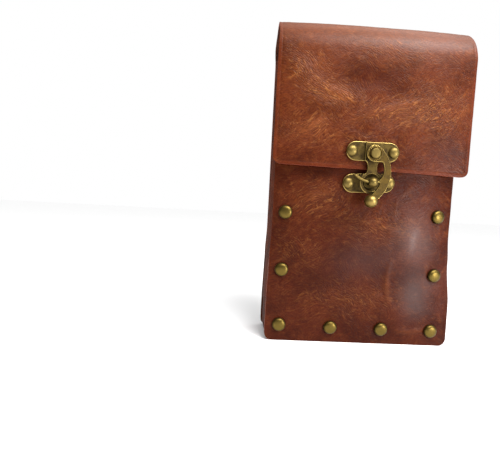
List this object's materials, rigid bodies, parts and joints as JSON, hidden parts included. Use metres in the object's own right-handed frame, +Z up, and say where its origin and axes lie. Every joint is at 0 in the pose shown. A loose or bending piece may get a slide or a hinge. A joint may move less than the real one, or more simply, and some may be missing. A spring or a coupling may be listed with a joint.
{
  "type": "medieval belt pouch",
  "caption": "Upright flat leather belt pouch with a riveted gusset, a fold-over flap, a brass swing-hook clasp and belt loops on its back.",
  "frame": {"origin": "middle of the flat underside, between the two panels", "axes": "+Z up, -Y out of the front where the clasp is, +X to the right of someone who faces the front"},
  "size_m": [0.111, 0.0577, 0.1842],
  "materials": {
    "leather": "waxed, distressed, with lighter pull-up creases",
    "gusset_leather": "same leather, darker inside",
    "brass": "antique brass, dark in the recesses"
  },
  "bodies": {
    "pouch": {"front_panel": "leather", "back_and_flap": "leather", "belt_loop_left": "leather", "belt_loop_right": "leather", "gusset": "gusset_leather", "front_rivet_left_1": "brass", "front_rivet_left_2": "brass", "front_rivet_left_3": "brass", "front_rivet_right_1": "brass", "front_rivet_right_2": "brass", "front_rivet_right_3": "brass", "front_rivet_bottom_1": "brass", "front_rivet_bottom_2": "brass", "back_rivet_left_1": "brass", "back_rivet_left_2": "brass", "back_rivet_left_3": "brass", "back_rivet_right_1": "brass", "back_rivet_right_2": "brass", "back_rivet_right_3": "brass", "back_rivet_bottom_1": "brass", "back_rivet_bottom_2": "brass", "loop_rivet_left_lower": "brass", "loop_rivet_left_upper": "brass", "loop_rivet_right_lower": "brass", "loop_rivet_right_upper": "brass", "clasp_rivet_upper_left": "brass", "clasp_rivet_upper_right": "brass", "clasp_rivet_lower_left": "brass", "clasp_rivet_lower_right": "brass", "clasp_upper_plate": "brass", "clasp_pivot": "brass", "clasp_lower_plate": "brass", "clasp_post": "brass"},
    "hook": {"clasp_hook": "brass"}
  },
  "joints": [
    {"name": "hook_swing", "type": "hinge", "parent": "pouch", "child": "hook", "pos_m": [0, -0.0303, 0.1092], "axis": [0, -1, 0], "range_deg": [0, 100]}
  ]
}
